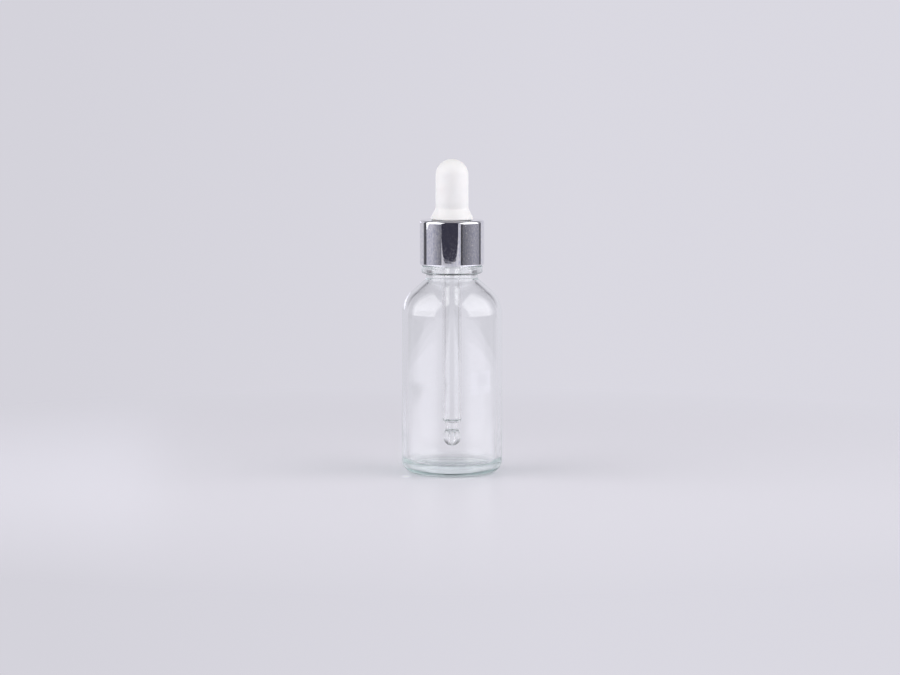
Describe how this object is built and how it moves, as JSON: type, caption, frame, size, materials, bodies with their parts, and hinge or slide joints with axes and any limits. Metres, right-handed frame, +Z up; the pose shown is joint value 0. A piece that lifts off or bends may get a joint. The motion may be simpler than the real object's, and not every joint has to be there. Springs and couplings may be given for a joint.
{
  "type": "dropper bottle",
  "caption": "Clear glass dropper bottle closed by a screw-on dropper: a bright metal collar, a white rubber bulb and a glass pipette with a ball tip.",
  "frame": {"origin": "centre of the bottle's base, on the plane it stands on", "axes": "+Z up along the axis of the bottle and the dropper; X and Y are free because every piece is round, and the bulb is pinched along X"},
  "size_m": [0.033, 0.033, 0.1035],
  "materials": {
    "bottle_glass": "clear, fire-polished, faint green in thick glass",
    "cap_plastic": "moulded natural white",
    "collar_metal": "bright, mirror-like",
    "bulb_rubber": "satin white",
    "pipette_glass": "clear, fire-polished"
  },
  "bodies": {
    "bottle": {"bottle": "bottle_glass"},
    "dropper": {"pipette": "pipette_glass"},
    "cap": {"inner_cap": "cap_plastic", "collar_shell": "collar_metal"},
    "bulb": {"bulb": "bulb_rubber"}
  },
  "joints": [
    {"name": "dropper_lift", "type": "slide", "parent": "bottle", "child": "dropper", "axis": [0, 0, 1], "range_m": [0, 0.08]},
    {"name": "cap_turn", "type": "hinge", "parent": "dropper", "child": "cap", "pos_m": [0, 0, 0.0765], "axis": [0, 0, 1], "range_deg": [0, 720]},
    {"name": "bulb_squeeze", "type": "slide", "parent": "dropper", "child": "bulb", "axis": [1, 0, 0], "range_m": [0, 0.0018], "stiffness_N_per_m": 1500, "deforming": ["bulb"]}
  ]
}
